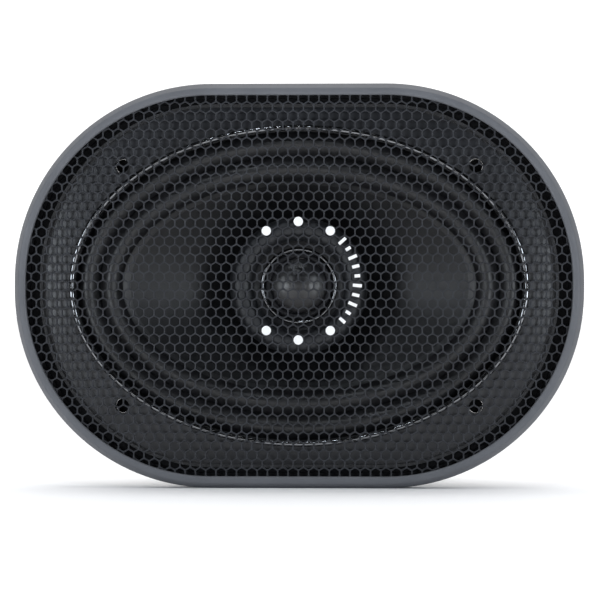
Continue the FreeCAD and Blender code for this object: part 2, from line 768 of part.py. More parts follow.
def terminal_tab(z, width):
    """A flat push-on tab lying on the board's rear face, with its riveted foot."""
    y0 = BOARD_REAR
    x0 = BOARD_X1 - 7.2
    tip = x0 + TAB_LENGTH
    half = width / 2
    corners = [(x0, -half), (tip - 1.5, -half), (tip, -half + 1.2),
               (tip, half - 1.2), (tip - 1.5, half), (x0, half)]
    points = [V(x, y0, z + side) for x, side in corners]
    tab = Part.Face(Part.makePolygon(points + points[:1])).extrude(V(0, TAB_THICKNESS, 0))
    tab = tab.cut(cylinder(0.9, y0 - 1, y0 + 2, tip - 4.5, z))
    return tab.cut(cylinder(1.1, y0 - 1, y0 + 2, BOARD_X1 - 5, z))


def terminal_rivets():
    """Eyelets that hold the tabs and the board."""
    rivets = []
    for z in (-TAB_Z, TAB_Z):
        x = BOARD_X1 - 5
        rear = BOARD_REAR + TAB_THICKNESS
        shank = cylinder(1.0, BOARD_FRONT - 0.7, rear, x, z)
        front = cylinder(1.9, BOARD_FRONT - 0.7, BOARD_FRONT, x, z)
        back = cylinder(1.9, rear, rear + 0.7, x, z)
        rivets.append(shank.fuse(front).fuse(back).removeSplitter())
    for z in (-BOARD_RIVET_Z, BOARD_RIVET_Z):
        shank = cylinder(RIVET_SHANK * 0.75, SHELF_Y, BOARD_REAR, BOARD_RIVET_X, z)
        back = cylinder(2.6, BOARD_REAR, BOARD_REAR + 0.7, BOARD_RIVET_X, z)
        rivets.append(shank.fuse(back).removeSplitter())
    return Part.makeCompound(rivets)


def crossover_capacitor():
    """The capacitor lying across the board's rear face, on the tweeter's side of it."""
    y = BOARD_REAR + CAPACITOR_RADIUS
    x = BOARD_X0 + 8.5
    half = CAPACITOR_LENGTH / 2
    can = Part.makeCylinder(CAPACITOR_RADIUS, CAPACITOR_LENGTH, V(x, y, -half), V(0, 0, 1))
    ends = [e for e in can.Edges if e.BoundBox.ZLength < 0.1]
    return can.makeFillet(0.8, ends)


def tweeter_wires():
    """Two wires from the pod through the post, along the boot's slot and up to the board."""
    wires = []
    run_y = YOKE_REAR + WIRE_RADIUS + 0.5
    side_x = BOOT_RADIUS + WIRE_RADIUS + 0.4
    for side in (-1, 1):
        z = side * WIRE_OFFSET
        points = [
            V(0, POD_REAR - 4, z),
            V(0, run_y, z),
            V(side_x, run_y, z),
            V(side_x, BOARD_REAR, z),
        ]
        wires.append(wire_tube(points, WIRE_RADIUS, WIRE_BEND))
    return Part.makeCompound(wires)


def tinsel_leads():
    """Two braided leads from the board through the windows to the cone's back."""
    leads = []
    for side in (-1, 1):
        z = side * TAB_Z
        points = [
            V(BOARD_X1 - 5, BOARD_FRONT - 0.9, z),
            V(BOARD_X1 - 5, 27.0, z + side * 2),
            V(50.0, 23.2, z + side * 3),
            V(38.0, 18.0, z + side * 4),
        ]
        leads.append(wire_tube(points, TINSEL_RADIUS, TINSEL_BEND))
    return Part.makeCompound(leads)


# ---------------------------------------------------------------- the whole speaker

def nodes():
    """Every piece of the speaker by its node's name."""
    return {
        "grille_bezel": grille_bezel(),
        "grille_mesh": grille_mesh(),
        "grille_trim_ring": grille_trim_ring(),
        "badge_dots": badge_dots(),
        "badge_bars": badge_bars(),
        "mounting_ring": mounting_ring(),
        "basket": basket(),
        "front_gasket": front_gasket(),
        "surround": surround(),
        "cone": cone(),
        "spider": spider(),
        "voice_coil_former": voice_coil_former(),
        "voice_coil": voice_coil(),
        "top_plate": top_plate(),
        "ferrite_magnet": tube(MAGNET_RADIUS, MAGNET_HOLE, TOP_PLATE_REAR, MAGNET_REAR),
        "yoke": yoke(),
        "magnet_boot": magnet_boot(),
        "basket_rivets": basket_rivets(),
        "terminal_board": terminal_board(),
        "positive_tab": terminal_tab(TAB_Z, POSITIVE_WIDTH),
        "negative_tab": terminal_tab(-TAB_Z, NEGATIVE_WIDTH),
        "terminal_rivets": terminal_rivets(),
        "crossover_capacitor": crossover_capacitor(),
        "tinsel_leads": tinsel_leads(),
        "tweeter_wires": tweeter_wires(),
        "tweeter_post": tweeter_post(),
        "post_nut": post_nut(),
        "tweeter_housing": tweeter_housing(),
        "tweeter_faceplate": tweeter_faceplate(),
        "tweeter_yoke": tweeter_yoke(),
        "tweeter_magnet": cylinder(11.2, 2.4, 7.4),
        "tweeter_top_plate": cylinder(11.9, -0.4, 2.4),
        "tweeter_voice_coil": tube(12.6, 12.2, DOME_BASE, 2.0),
        "tweeter_dome": tweeter_dome(),
        "tweeter_surround": tweeter_surround(),
    }


def main():
    """Write one STEP file for each piece."""
    os.makedirs("parts", exist_ok=True)
    for name, shape in nodes().items():
        shape.exportStep(f"parts/{name}.step")
        print(f"{name:22} {len(shape.Solids):3} solids {shape.Volume:12.1f} mm3")
    print(f"bend radii: tweeter_wires {WIRE_BEND} mm, tinsel_leads {TINSEL_BEND} mm")


main()
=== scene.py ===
import json
import math
import bmesh
import bpy
from mathutils import Matrix, Vector


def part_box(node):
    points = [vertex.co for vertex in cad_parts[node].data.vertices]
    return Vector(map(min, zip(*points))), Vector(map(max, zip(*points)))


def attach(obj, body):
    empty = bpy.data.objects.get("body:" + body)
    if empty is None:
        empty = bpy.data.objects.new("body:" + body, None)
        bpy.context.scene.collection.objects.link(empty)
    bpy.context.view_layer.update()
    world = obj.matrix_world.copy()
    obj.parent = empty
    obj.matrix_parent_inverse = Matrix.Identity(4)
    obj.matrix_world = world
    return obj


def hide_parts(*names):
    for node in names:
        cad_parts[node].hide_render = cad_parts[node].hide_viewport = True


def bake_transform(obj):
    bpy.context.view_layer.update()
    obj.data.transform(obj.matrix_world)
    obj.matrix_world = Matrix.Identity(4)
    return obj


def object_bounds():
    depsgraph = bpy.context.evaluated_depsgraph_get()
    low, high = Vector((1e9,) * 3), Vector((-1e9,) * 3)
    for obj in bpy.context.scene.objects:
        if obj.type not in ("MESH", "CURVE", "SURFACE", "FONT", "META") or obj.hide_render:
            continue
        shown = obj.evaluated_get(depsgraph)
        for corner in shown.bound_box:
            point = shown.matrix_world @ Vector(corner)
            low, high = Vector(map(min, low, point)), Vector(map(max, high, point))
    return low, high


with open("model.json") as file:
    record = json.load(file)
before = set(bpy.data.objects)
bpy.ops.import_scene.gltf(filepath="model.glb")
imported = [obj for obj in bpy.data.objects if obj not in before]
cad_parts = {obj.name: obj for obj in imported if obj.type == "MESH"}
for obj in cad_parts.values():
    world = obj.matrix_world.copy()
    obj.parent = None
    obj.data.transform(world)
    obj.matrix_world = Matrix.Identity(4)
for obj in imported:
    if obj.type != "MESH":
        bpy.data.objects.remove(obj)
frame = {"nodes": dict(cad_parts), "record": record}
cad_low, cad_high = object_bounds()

# Coaxial car speaker with its pull-off grille. Shapes below are in millimetres in the CAD's frame
# (X along the oval, Z up, the speaker faces -Y) and become metres when a mesh is made.

MM = 0.001
TURN = 2 * math.pi

# ---------------------------------------------------------------- dimensions shared with the CAD

def box_mm(name):
    """A CAD node's lowest and highest corners in millimetres."""
    low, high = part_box(name)
    return low / MM, high / MM


bezel_low, bezel_high = box_mm("grille_bezel")
sheet_low, sheet_high = box_mm("grille_mesh")
ring_low, ring_high = box_mm("grille_trim_ring")
dots_low, dots_high = box_mm("badge_dots")
gasket_low, gasket_high = box_mm("front_gasket")
dome_low, dome_high = box_mm("tweeter_dome")
face_low, _ = box_mm("tweeter_faceplate")

BEZEL_CORNER = 90.0
BEZEL_LIP = 5.4
BEZEL_WALL = 3.0
RIB_MIDDLE = -5.2
SHEET_CORNER = 86.6
CELL_PITCH = 4.7
CELL_FLATS = 3.9
SURROUND_X = 102.6
SURROUND_Z = 70.9
CONE_EDGE_X = 81.3
CONE_EDGE_Z = 48.3
CONE_EDGE_Y = 1.4
CONE_NECK = 15.4
CONE_NECK_Y = 31.0
SURROUND_CREST = -3.2
LANDING_FRONT = -5.0
LANDING_BACK = -4.5
SPIDER_NECK = 15.4
SPIDER_FLAT = 44.0
ROLL_INNER = 12.8
ROLL_SPAN = 2.6
ROLL_STEPS = 128
SHEET_CHAMFER = 0.12
SHEET_MARGIN = 0.5
CORNER_REACH = 0.965
CORNER_TURN = 6.5

# ---------------------------------------------------------------- materials

def add(tree, kind, **values):
    """A shader node with the values of its sockets set by name."""
    made = tree.nodes.new(kind)
    for name, value in values.items():
        made.inputs[name.replace("_", " ")].default_value = value
    return made


def ramp(tree, source, low, high, start=0.35, end=0.65):
    """A colour that runs from low to high as the source does."""
    made = tree.nodes.new("ShaderNodeValToRGB")
    made.color_ramp.elements[0].position = start
    made.color_ramp.elements[0].color = (*low, 1)
    made.color_ramp.elements[1].position = end
    made.color_ramp.elements[1].color = (*high, 1)
    tree.links.new(source, made.inputs["Fac"])
    return made.outputs["Color"]


def stretched(tree, stretch):
    """Object coordinates, stretched by a factor along each axis."""
    place = tree.nodes.new("ShaderNodeTexCoord").outputs["Object"]
    mapping = tree.nodes.new("ShaderNodeMapping")
    mapping.inputs["Scale"].default_value = stretch
    tree.links.new(place, mapping.inputs["Vector"])
    return mapping.outputs["Vector"]


def noise(tree, place, scale, detail=4.0):
    """Noise of a scale per metre."""
    made = add(tree, "ShaderNodeTexNoise", Scale=scale, Detail=detail)
    tree.links.new(place, made.inputs["Vector"])
    return made.outputs["Fac"]


def woven(tree, place, period_mm):
    """Two crossing sets of threads as a height."""
    heights = []
    for direction in ("X", "Z"):
        wave = add(tree, "ShaderNodeTexWave", Scale=0.314 / (period_mm * MM), Distortion=0.6)
        wave.bands_direction = direction
        tree.links.new(place, wave.inputs["Vector"])
        heights.append(wave.outputs["Fac"])
    crossing = tree.nodes.new("ShaderNodeMath")
    crossing.operation = "MAXIMUM"
    tree.links.new(heights[0], crossing.inputs[0])
    tree.links.new(heights[1], crossing.inputs[1])
    return crossing.outputs["Value"]


def finish(name, low, high, rough=(0.4, 0.55), patch=60.0, grain=2500.0, bump=0.15, depth_mm=0.05,
           metallic=0.0, coat=0.0, sheen=0.0, specular=0.5, stretch=(1, 1, 1), weave_mm=None):
    """A material whose tone, gloss and relief all vary over the surface."""
    material = bpy.data.materials.new(name)
    material.use_nodes = True
    tree = material.node_tree
    shader = tree.nodes["Principled BSDF"]
    shader.inputs["Metallic"].default_value = metallic
    shader.inputs["Coat Weight"].default_value = coat
    shader.inputs["Coat Roughness"].default_value = 0.12
    shader.inputs["Sheen Weight"].default_value = sheen
    shader.inputs["Specular IOR Level"].default_value = specular
    place = stretched(tree, stretch)
    patches = noise(tree, place, patch)
    tree.links.new(ramp(tree, patches, low, high), shader.inputs["Base Color"])
    spread = add(tree, "ShaderNodeMapRange", From_Min=0.3, From_Max=0.7,
                 To_Min=rough[0], To_Max=rough[1])
    tree.links.new(noise(tree, place, patch * 4), spread.inputs["Value"])
    tree.links.new(spread.outputs["Result"], shader.inputs["Roughness"])
    height = woven(tree, place, weave_mm) if weave_mm else noise(tree, place, grain, 6.0)
    relief = add(tree, "ShaderNodeBump", Strength=bump, Distance=depth_mm * MM)
    tree.links.new(height, relief.inputs["Height"])
    tree.links.new(relief.outputs["Normal"], shader.inputs["Normal"])
    return material


MATERIALS = {
    "bezel_grey": finish("bezel_grey", (0.112, 0.116, 0.127), (0.126, 0.130, 0.142),
                         rough=(0.42, 0.5), grain=3500, bump=0.25, specular=0.2),
    "mesh_paint": finish("mesh_paint", (0.012, 0.013, 0.017), (0.018, 0.020, 0.025),
                         rough=(0.42, 0.55), grain=4000, bump=0.3, specular=0.36),
    "trim_grey": finish("trim_grey", (0.008, 0.009, 0.011), (0.012, 0.013, 0.016),
                        rough=(0.45, 0.55), bump=0.2, specular=0.42),
    "badge_white": finish("badge_white", (0.86, 0.86, 0.86), (0.92, 0.92, 0.92),
                          rough=(0.45, 0.55), bump=0.1),
    "black_plastic": finish("black_plastic", (0.002, 0.002, 0.003), (0.004, 0.004, 0.005),
                            rough=(0.5, 0.65), grain=1800, bump=0.35, specular=0.12),
    "basket_paint": finish("basket_paint", (0.016, 0.016, 0.018), (0.024, 0.024, 0.027),
                           rough=(0.42, 0.6), grain=1500, bump=0.5),
    "gasket_grey": finish("gasket_grey", (0.007, 0.008, 0.011), (0.011, 0.012, 0.016),
                          rough=(0.36, 0.43), bump=0.2, specular=0.58),
    "surround_rubber": finish("surround_rubber", (0.005, 0.005, 0.006), (0.009, 0.009, 0.011),
                              rough=(0.38, 0.48), grain=2200, bump=0.25, specular=0.7),
    "cone_black": finish("cone_black", (0.003, 0.003, 0.004), (0.006, 0.006, 0.007),
                         rough=(0.38, 0.46), patch=120, grain=1200, bump=0.35, specular=0.42),
    "spider_cloth": finish("spider_cloth", (0.36, 0.25, 0.08), (0.46, 0.33, 0.12),
                           rough=(0.7, 0.85), bump=0.6, weave_mm=0.6, sheen=0.3),
    "former_film": finish("former_film", (0.30, 0.13, 0.03), (0.38, 0.18, 0.05),
                          rough=(0.2, 0.3), bump=0.05, coat=0.4),
    "coil_copper": finish("coil_copper", (0.62, 0.26, 0.10), (0.74, 0.34, 0.15), metallic=0.9,
                          rough=(0.28, 0.4), bump=0.5, stretch=(1, 40, 1), grain=120),
    "steel": finish("steel", (0.50, 0.50, 0.49), (0.62, 0.62, 0.60), metallic=1.0,
                    rough=(0.26, 0.42), grain=1500, bump=0.12),
    "ferrite": finish("ferrite", (0.028, 0.028, 0.030), (0.050, 0.050, 0.053),
                      rough=(0.5, 0.7), patch=400, grain=3000, bump=0.4),
    "boot_rubber": finish("boot_rubber", (0.012, 0.012, 0.013), (0.019, 0.019, 0.020),
                          rough=(0.5, 0.68), grain=1600, bump=0.3, sheen=0.1),
    "board_brown": finish("board_brown", (0.13, 0.058, 0.022), (0.19, 0.09, 0.035),
                          rough=(0.5, 0.65), patch=500, bump=0.3, stretch=(1, 1, 4)),
    "tab_brass": finish("tab_brass", (0.70, 0.54, 0.25), (0.80, 0.65, 0.33), metallic=1.0,
                        rough=(0.25, 0.38), bump=0.1),
    "capacitor_sleeve": finish("capacitor_sleeve", (0.020, 0.035, 0.10), (0.026, 0.045, 0.12),
                               rough=(0.25, 0.35), bump=0.06, coat=0.5),
    "tinsel_braid": finish("tinsel_braid", (0.48, 0.38, 0.26), (0.66, 0.55, 0.40), metallic=0.5,
                           rough=(0.4, 0.55), bump=0.9, weave_mm=0.5),
    "wire_black": finish("wire_black", (0.014, 0.014, 0.015), (0.02, 0.02, 0.022),
                         rough=(0.4, 0.5), bump=0.1),
    "post_aluminium": finish("post_aluminium", (0.62, 0.62, 0.63), (0.72, 0.72, 0.72),
                             metallic=1.0, rough=(0.25, 0.35), stretch=(1, 30, 1), bump=0.15,
                             grain=150),
    "face_gloss": finish("face_gloss", (0.004, 0.004, 0.005), (0.006, 0.006, 0.008),
                         rough=(0.4, 0.48), bump=0.15, specular=0.25),
    "bead_gloss": finish("bead_gloss", (0.15, 0.155, 0.165), (0.18, 0.185, 0.195),
                         metallic=1.0, rough=(0.10, 0.15), bump=0.03, coat=1.0),
    "magnet_nickel": finish("magnet_nickel", (0.62, 0.60, 0.56), (0.70, 0.69, 0.66),
                            metallic=1.0, rough=(0.12, 0.2), bump=0.04),
    "dome_silk": finish("dome_silk", (0.002, 0.002, 0.003), (0.004, 0.004, 0.006),
                        rough=(0.3, 0.36), bump=0.3, weave_mm=0.28, specular=0.95),
    "roll_silk": finish("roll_silk", (0.003, 0.003, 0.005), (0.006, 0.006, 0.008),
                        rough=(0.5, 0.6), bump=0.35, weave_mm=0.28, specular=0.3),
}

# ---------------------------------------------------------------- meshes from rings of points

def oval(half_x, half_z, corner, y, steps=40):
    """A rounded rectangle's points in the plane at y."""
    points = []
    for quarter, (side_x, side_z) in enumerate(((1, 1), (-1, 1), (-1, -1), (1, -1))):
        for step in range(steps + 1):
            angle = TURN / 4 * (quarter + step / steps)
            points.append((side_x * (half_x - corner) + corner * math.cos(angle), y,
                           side_z * (half_z - corner) + corner * math.sin(angle)))
    return points


def ellipse(half_x, half_z, y, steps=192):
    """An ellipse's points in the plane at y."""
    return [(half_x * math.cos(TURN * step / steps), y, half_z * math.sin(TURN * step / steps))
            for step in range(steps)]


def solid_mesh(name, vertices, faces):
    """A mesh in metres whose faces all look outwards."""
    mesh = bpy.data.meshes.new(name)
    mesh.from_pydata([Vector(v) * MM for v in vertices], [], faces)
    mesh.validate()
    shape = bmesh.new()
    shape.from_mesh(mesh)
    bmesh.ops.recalc_face_normals(shape, faces=shape.faces)
    shape.to_mesh(mesh)
    shape.free()
    return mesh


def piece(name, vertices, faces, slot, body=None, stands_for=(), sharp=40, look=None):
    """A mesh object from points in mm. Its look is its slot's material unless one is named."""
    mesh = solid_mesh(name, vertices, faces)
    mesh.shade_smooth()
    mesh.set_sharp_from_angle(angle=math.radians(sharp))
    mesh.materials.append(MATERIALS[look or slot])
    made = bpy.data.objects.new(name, mesh)
    bpy.context.scene.collection.objects.link(made)
    if body:
        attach(made, body)
    if stands_for:
        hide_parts(*stands_for)
    return made


def skin(rings, closed=True):
    """Points and faces through rings of equal length, joined end to end or capped."""
    count = len(rings[0])
    vertices = [point for ring in rings for point in ring]
    faces = []
    for row in range(len(rings) if closed else len(rings) - 1):
        here = row * count
        ahead = (row + 1) % len(rings) * count
        for step in range(count):
            after = (step + 1) % count
            faces.append((here + step, here + after, ahead + after, ahead + step))
    if not closed:
        for row in (0, len(rings) - 1):
            vertices.append(tuple(sum(p[axis] for p in rings[row]) / count for axis in range(3)))
            for step in range(count):
                faces.append((row * count + step, row * count + (step + 1) % count,
                              len(vertices) - 1))
    return vertices, faces


def arc_points(first, crest, last, steps=16):
    """Points on the circular arc over a base line from first to last, as high as the crest."""
    half = (last[0] - first[0]) / 2
    rise = first[1] - crest
    radius = (half * half + rise * rise) / (2 * rise)
    reach = math.asin(min(1.0, half / radius))
    if rise > half:
        reach = math.pi - reach
    middle = (first[0] + last[0]) / 2
    centre = crest + radius
    angles = [reach * (2 * step / steps - 1) for step in range(steps + 1)]
    return [(middle + radius * math.sin(a), centre - radius * math.cos(a)) for a in angles]


# ---------------------------------------------------------------- grille

def bezel_profile():
    """The frame's section as (inset from the outline, y)."""
    front = bezel_low.y
    back = bezel_high.y
    return [(0.4, back), (0.0, back - 0.4), (0.0, front + 3.8), (0.05, front + 3.5),
            (0.15, front + 3.25), (2.05, front + 0.42), (2.2, front + 0.25),
            (2.4, front + 0.14), (3.2, front), (4.0, front), (4.6, front + 0.08),
            (5.1, front + 0.35), (BEZEL_LIP, front + 0.9), (BEZEL_LIP, sheet_low.y),
            (BEZEL_WALL, sheet_low.y),
            (BEZEL_WALL, back - 0.3), (BEZEL_WALL - 0.3, back)]


rings = [oval(bezel_high.x - inset, bezel_high.z - inset, BEZEL_CORNER - inset, y)
         for inset, y in bezel_profile()]
piece("grille_frame", *skin(rings), "bezel_grey", "grille", ["grille_bezel"], sharp=30)


def blocks(name, boxes, slot, body, stands_for=(), bevel_mm=0.25):
    """Blocks with softened edges, each a middle, half sizes and a turn about the driver's axis."""
    vertices = []
    faces = []
    for middle, half, angle in boxes:
        base = len(vertices)
        turn = Matrix.Rotation(-angle, 3, "Y")
        for x in (-1, 1):
            for y in (-1, 1):
                for z in (-1, 1):
                    corner = turn @ Vector((x * half[0], y * half[1], z * half[2]))
                    vertices.append(tuple(corner + Vector(middle)))
        faces += [tuple(base + i for i in face) for face in
                  ((0, 1, 3, 2), (4, 6, 7, 5), (0, 4, 5, 1), (2, 3, 7, 6), (0, 2, 6, 4),
                   (1, 5, 7, 3))]
    made = piece(name, vertices, faces, slot, body, stands_for, sharp=60)
    bevel = made.modifiers.new("edges", "BEVEL")
    bevel.width = bevel_mm * MM
    bevel.segments = 3
    return made


def grip_ribs():
    """The ribs inside the frame's wall that rub on the mounting ring."""
    inner_x = bezel_high.x - BEZEL_WALL
    inner_z = bezel_high.z - BEZEL_WALL
    ribs = []
    for x in (-25.0, 25.0):
        for side in (-1, 1):
            ribs.append(((x, RIB_MIDDLE, side * (inner_z - 0.6)), (5.0, 1.8, 1.1), 0.0))
    for side in (-1, 1):
        ribs.append(((side * (inner_x - 0.6), RIB_MIDDLE, 0.0), (1.1, 1.8, 2.0), 0.0))
    return ribs


blocks("grip_ribs", grip_ribs(), "bezel_grey", "grille")


def beyond(x, z, half_x, half_z, corner):
    """How far a point lies outside a rounded rectangle."""
    dx = abs(x) - (half_x - corner)
    dz = abs(z) - (half_z - corner)
    return math.hypot(max(dx, 0), max(dz, 0)) + min(max(dx, dz), 0) - corner


def held_in(x, z, half_x, half_z, corner):
    """The point itself, or the nearest place on the rounded rectangle if it lies outside."""
    if beyond(x, z, half_x, half_z, corner) <= 0:
        return x, z
    flat_x = min(max(x, corner - half_x), half_x - corner)
    flat_z = min(max(z, corner - half_z), half_z - corner)
    length = math.hypot(x - flat_x, z - flat_z)
    return flat_x + (x - flat_x) * corner / length, flat_z + (z - flat_z) * corner / length


class Sheet:
    """The perforated sheet, gathered cell by cell."""

    def __init__(self):
        self.half = (sheet_high.x, sheet_high.z)
        self.front = sheet_low.y
        self.back = sheet_high.y
        self.vertices = []
        self.faces = []
        self.shared = {}

    def corner(self, x, z, y):
        """A cell's outer corner, shared with its neighbours."""
        x, z = held_in(x, z, *self.half, SHEET_CORNER)
        key = (round(x, 2), round(z, 2), y)
        if key not in self.shared:
            self.shared[key] = self.point(x, z, y)
        return self.shared[key]

    def point(self, x, z, y):
        """A new point of the sheet."""
        self.vertices.append((x, y, z))
        return len(self.vertices) - 1

    def hole(self, x, z, grow, y):
        """A loop round a cell's hexagonal hole with clipped corners."""
        reach = CORNER_REACH * (CELL_FLATS / 2 + grow) / math.cos(TURN / 12)
        loop = []
        for step in range(6):
            for turn in (-CORNER_TURN, CORNER_TURN):
                angle = TURN / 12 + TURN * step / 6 + math.radians(turn)
                px, pz = held_in(x + reach * math.cos(angle), z + reach * math.sin(angle),
                                 self.half[0] - SHEET_MARGIN, self.half[1] - SHEET_MARGIN,
                                 SHEET_CORNER - SHEET_MARGIN)
                loop.append(self.point(px, pz, y))
        return loop

    def flat(self, x, z, y, loop, flip):
        """The web round one hole in the plane at y."""
        reach = CELL_PITCH / math.sqrt(3)
        outer = [self.corner(x + reach * math.cos(TURN / 12 + TURN * k / 6),
                             z + reach * math.sin(TURN / 12 + TURN * k / 6), y)
                 for k in range(6)]
        for k in range(6):
            after = (k + 1) % 6
            self.face((outer[k], loop[2 * k + 1], loop[2 * k]), flip)
            self.face((outer[k], outer[after], loop[2 * after], loop[2 * k + 1]), flip)

    def face(self, corners, flip=False):
        """One face, left out where the edge has squeezed it flat."""
        kept = list(dict.fromkeys(corners))
        if len(kept) > 2:
            self.faces.append(tuple(reversed(kept)) if flip else tuple(kept))

    def wall(self, upper, lower):
        """The faces between two loops of one hole."""
        for k in range(len(upper)):
            after = (k + 1) % len(upper)
            self.face((upper[k], upper[after], lower[after], lower[k]))

    def cell(self, x, z):
        """One cell: its web in front and behind, and the wall of its hole."""
        rim = self.hole(x, z, SHEET_CHAMFER, self.front)
        edge = self.hole(x, z, 0.0, self.front + SHEET_CHAMFER)
        rear = self.hole(x, z, 0.0, self.back)
        self.flat(x, z, self.front, rim, False)
        self.wall(rim, edge)
        self.wall(edge, rear)
        self.flat(x, z, self.back, rear, True)

    def field(self):
        """Every cell whose hole reaches inside the sheet's outline."""
        row_pitch = CELL_PITCH * math.sqrt(3) / 2
        rows = int(self.half[1] / row_pitch) + 2
        columns = int(self.half[0] / CELL_PITCH) + 2
        for row in range(-rows, rows + 1):
            for column in range(-columns, columns + 1):
                x = (column + 0.5 * (row % 2)) * CELL_PITCH
                z = row * row_pitch
                if beyond(x, z, *self.half, SHEET_CORNER) < CELL_FLATS * 0.3:
                    self.cell(x, z)
        self.rim()
        return self.vertices, self.faces

    def rim(self):
        """The sheet's outer wall, under the edges that only one face of the front uses."""
        below = {index: self.shared[x, z, self.back]
                 for (x, z, y), index in self.shared.items() if y == self.front}
        uses = {}
        for face in self.faces:
            for edge in zip(face, face[1:] + face[:1]):
                if edge[0] in below and edge[1] in below:
                    uses.setdefault(frozenset(edge), []).append(edge)
        for users in uses.values():
            if len(users) == 1:
                start, end = users[0]
                self.faces.append((end, start, below[start], below[end]))


piece("grille_sheet", *Sheet().field(), "mesh_paint", "grille", ["grille_mesh"], sharp=50)

shoulder = ring_high.y - 0.6
profile = arc_points((ring_high.x - 11.0, shoulder), ring_low.y, (ring_high.x, shoulder))
profile += [(ring_high.x, ring_high.y), (ring_high.x - 11.0, ring_high.y)]
rings = [ellipse(radius, radius, y) for radius, y in profile]
piece("grille_ring", *skin(rings), "trim_grey", "grille", ["grille_trim_ring"])


BADGE_RADIUS = 27.0
BADGE_MIDDLE = (dots_low.z + dots_high.z) / 2
BADGE_RISE = 2.3
DOT_RADIUS = 2.15
DOT_SPREAD = 32.7
BAR_FIRST_ANGLE = 42.0


def badge_discs():
    """Six small discs with rounded rims, three above and three below the tweeter."""
    vertices = []
    faces = []
    for base in (90, 270):
        for offset in (-DOT_SPREAD, 0, DOT_SPREAD):
            angle = math.radians(base + offset)
            x = BADGE_RADIUS * math.cos(angle)
            z = BADGE_MIDDLE + BADGE_RISE + BADGE_RADIUS * math.sin(angle)
            rings = [[(x + px, y, z + pz) for px, _, pz in ellipse(radius, radius, 0, 40)]
                     for radius, y in ((DOT_RADIUS, dots_high.y), (DOT_RADIUS, dots_low.y + 0.18),
                                       (DOT_RADIUS - 0.06, dots_low.y + 0.07),
                                       (DOT_RADIUS - 0.2, dots_low.y))]
            more, links = skin(rings, closed=False)
            faces += [tuple(len(vertices) + i for i in face) for face in links]
            vertices += more
    return vertices, faces


piece("badge_discs", *badge_discs(), "badge_white", "grille", ["badge_dots"], sharp=60)

BAR_LENGTHS = (4.2, 2.6, 4.2, 3.4, 2.6, 4.2, 3.4, 4.2, 2.6, 3.4)
bars = []
for index, length in enumerate(BAR_LENGTHS):
    angle = math.radians(BAR_FIRST_ANGLE * (1 - 2 * index / (len(BAR_LENGTHS) - 1)))
    middle = (BADGE_RADIUS * math.cos(angle), (dots_low.y + dots_high.y) / 2,
              BADGE_MIDDLE + BADGE_RISE + BADGE_RADIUS * math.sin(angle))
    bars.append((middle, (length / 2, 0.25, 0.75), angle))
blocks("badge_marks", bars, "badge_white", "grille", ["badge_bars"], bevel_mm=0.2)

# ---------------------------------------------------------------- surround, cone and spider

def cone_ring(share, lift):
    """A ring of the cone's front at a share of the way from neck to edge, lifted towards -Y."""
    y = CONE_NECK_Y + (CONE_EDGE_Y - CONE_NECK_Y) * share ** 0.75
    return ellipse(CONE_NECK + (CONE_EDGE_X - CONE_NECK) * share,
                   CONE_NECK + (CONE_EDGE_Z - CONE_NECK) * share, y + lift)


def glued_lip(lift):
    """The surround's strip on the cone's front, from its inner edge to the cone's edge."""
    return [cone_ring(share, lift) for share in (0.95, 0.975, 1.0)]


def roll_rings(steps=96, wall=0.5):
    """The double roll's front and back as (share from cone to flange, ring)."""
    def station(share, back):
        half_x = CONE_EDGE_X + (SURROUND_X - CONE_EDGE_X) * share
        half_z = CONE_EDGE_Z + (SURROUND_Z - CONE_EDGE_Z) * share
        lift = abs(math.sin(TURN * share)) ** 0.7
        y = CONE_EDGE_Y + (SURROUND_CREST - CONE_EDGE_Y) * lift + back
        return share, ellipse(half_x, half_z, y)
    shares = [0.01 + 0.98 * step / steps for step in range(steps + 1)]
    rings = [(0.0, ring) for ring in glued_lip(-0.45)] + [station(share, 0) for share in shares]
    for reach, y in ((-0.1, LANDING_FRONT), (4.7, LANDING_FRONT), (4.9, -4.9), (4.9, LANDING_BACK),
                     (0.4, LANDING_BACK)):
        rings.append((1.0, ellipse(SURROUND_X + reach, SURROUND_Z + reach, y)))
    rings += [station(share, wall) for share in reversed(shares)]
    rings += [(0.0, ring) for ring in reversed(glued_lip(-0.05))]
    return rings


def eased(share):
    """The weight from 1 at the moving body's edge, share 0, to 0 at the fixed edge, share 1."""
    return 0.5 + 0.5 * math.cos(math.pi * min(1.0, max(0.0, share)))


def set_blend(made):
    """Bakes a piece's placement into its mesh; it sets no weights and ties the piece to no body."""
    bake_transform(made)


stations = roll_rings()
surround = piece("roll_surround", *skin([ring for _, ring in stations]), "surround_rubber",
                 None, ["surround"])
weights = []
for share, ring in stations:
    weights += [eased(share)] * len(ring)
set_blend(surround)


def cone_rings(steps=48, wall=0.8):
    """The cone's front from neck to edge, then its back."""
    shares = [step / steps for step in range(steps + 1)]
    front = [cone_ring(share, 0.0) for share in shares]
    return front + [cone_ring(share, wall) for share in reversed(shares)]


piece("cone_shell", *skin(cone_rings()), "cone_black", "cone_assembly", ["cone"])


def spider_rings(steps=90, wall=0.5, inner=15.35, flat=SPIDER_FLAT, outer=51.5, shelf=34.0):
    """The corrugated disc's front and back as (radius, ring)."""
    front = []
    for step in range(steps + 1):
        radius = inner + (flat - inner) * step / steps
        front.append((radius, shelf - wall - 0.8 + 1.3 * math.sin(TURN * 5 * step / steps)))
    front += [(flat + 1.5, shelf - wall), (outer, shelf - wall)]
    back = [(radius, y + wall) for radius, y in reversed(front)]
    return [(radius, ellipse(radius, radius, y, 128)) for radius, y in front + back]


stations = spider_rings()
spider = piece("spider_disc", *skin([ring for _, ring in stations]), "spider_cloth", None,
               ["spider"])
weights = []
for radius, ring in stations:
    weights += [eased((radius - SPIDER_NECK) / (SPIDER_FLAT - SPIDER_NECK))] * len(ring)
set_blend(spider)


